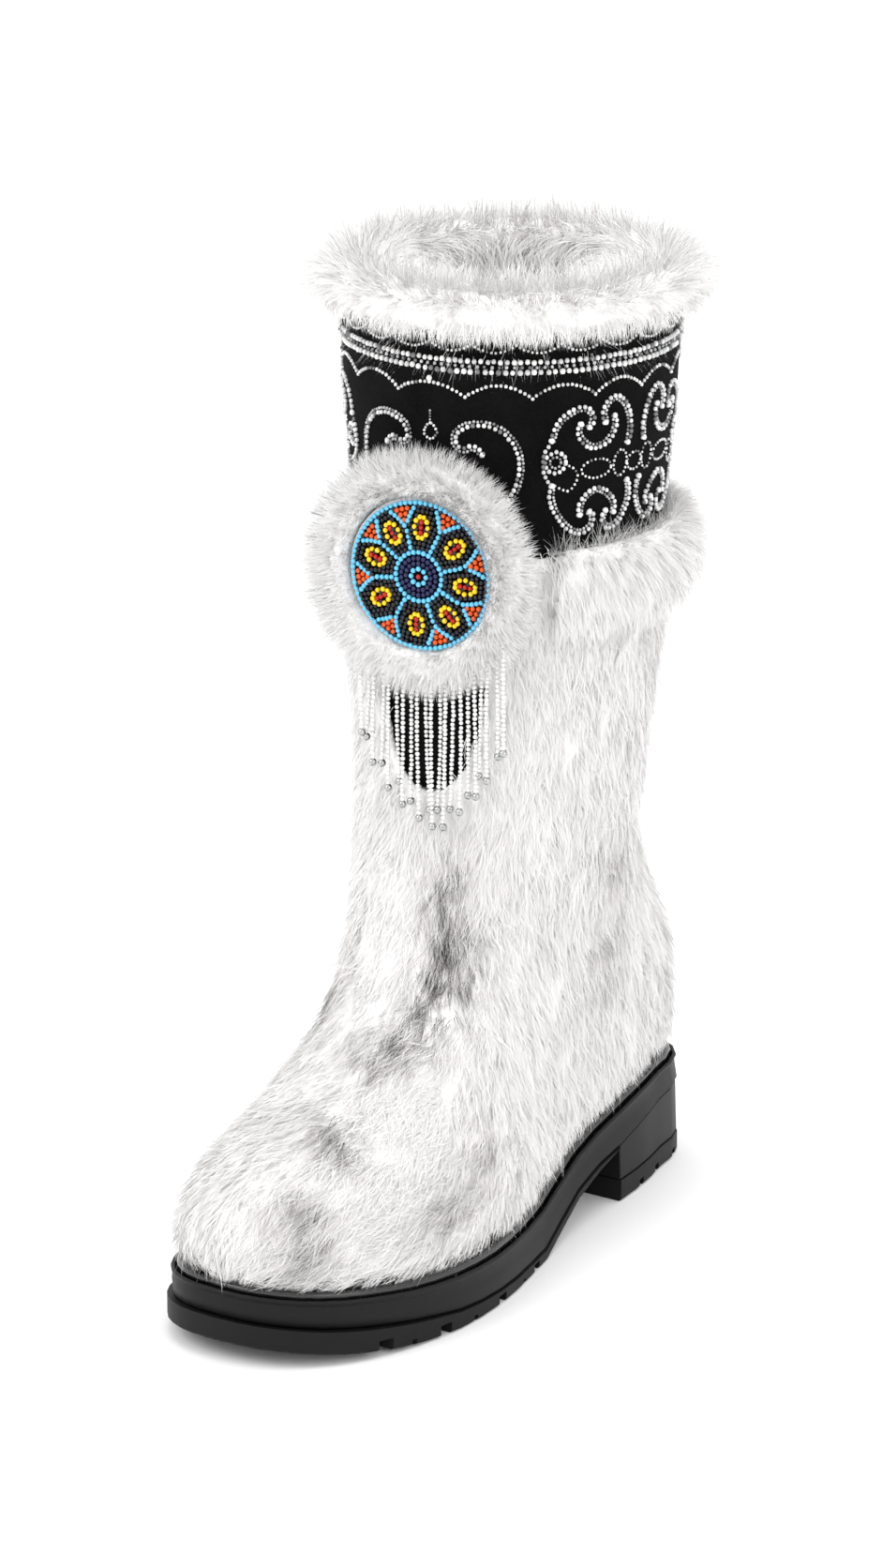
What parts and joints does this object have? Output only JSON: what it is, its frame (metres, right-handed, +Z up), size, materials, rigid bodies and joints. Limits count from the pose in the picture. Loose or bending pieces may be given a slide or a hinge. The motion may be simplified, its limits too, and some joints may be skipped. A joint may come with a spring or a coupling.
{
  "type": "fur boot",
  "caption": "Calf-high left winter boot of white long fur with a black beaded suede band, round beaded rosette with fringe, fur collar and lugged rubber sole.",
  "frame": {"origin": "on the floor, under the middle of the heel", "axes": "+Z up the shaft, -Y towards the toe, +X towards the outer side of the left foot"},
  "size_m": [0.1601, 0.285, 0.3821],
  "materials": {
    "black_rubber": "matte black moulded rubber",
    "black_welt": "shiny black stitched strip",
    "insole_board": "felt covered insole board",
    "white_fur": "long white fur with grey streaks",
    "black_suede": "black suede with silver beadwork",
    "pale_leather": "pale smooth backing leather",
    "navy_beads": "glossy glass seed beads in rings",
    "pearl_beads": "white glass seed beads with silver balls"
  },
  "bodies": {
    "root": {"outsole": "black_rubber", "heel_block": "black_rubber", "heel_lift": "black_rubber", "midsole": "black_rubber", "welt": "black_welt", "insole": "insole_board", "upper": "white_fur", "suede_shaft": "black_suede", "fur_cuff": "white_fur", "collar_fur": "white_fur", "medallion_fur": "white_fur", "medallion_backing": "pale_leather", "bead_disc": "navy_beads", "fringe": "pearl_beads"}
  },
  "joints": []
}
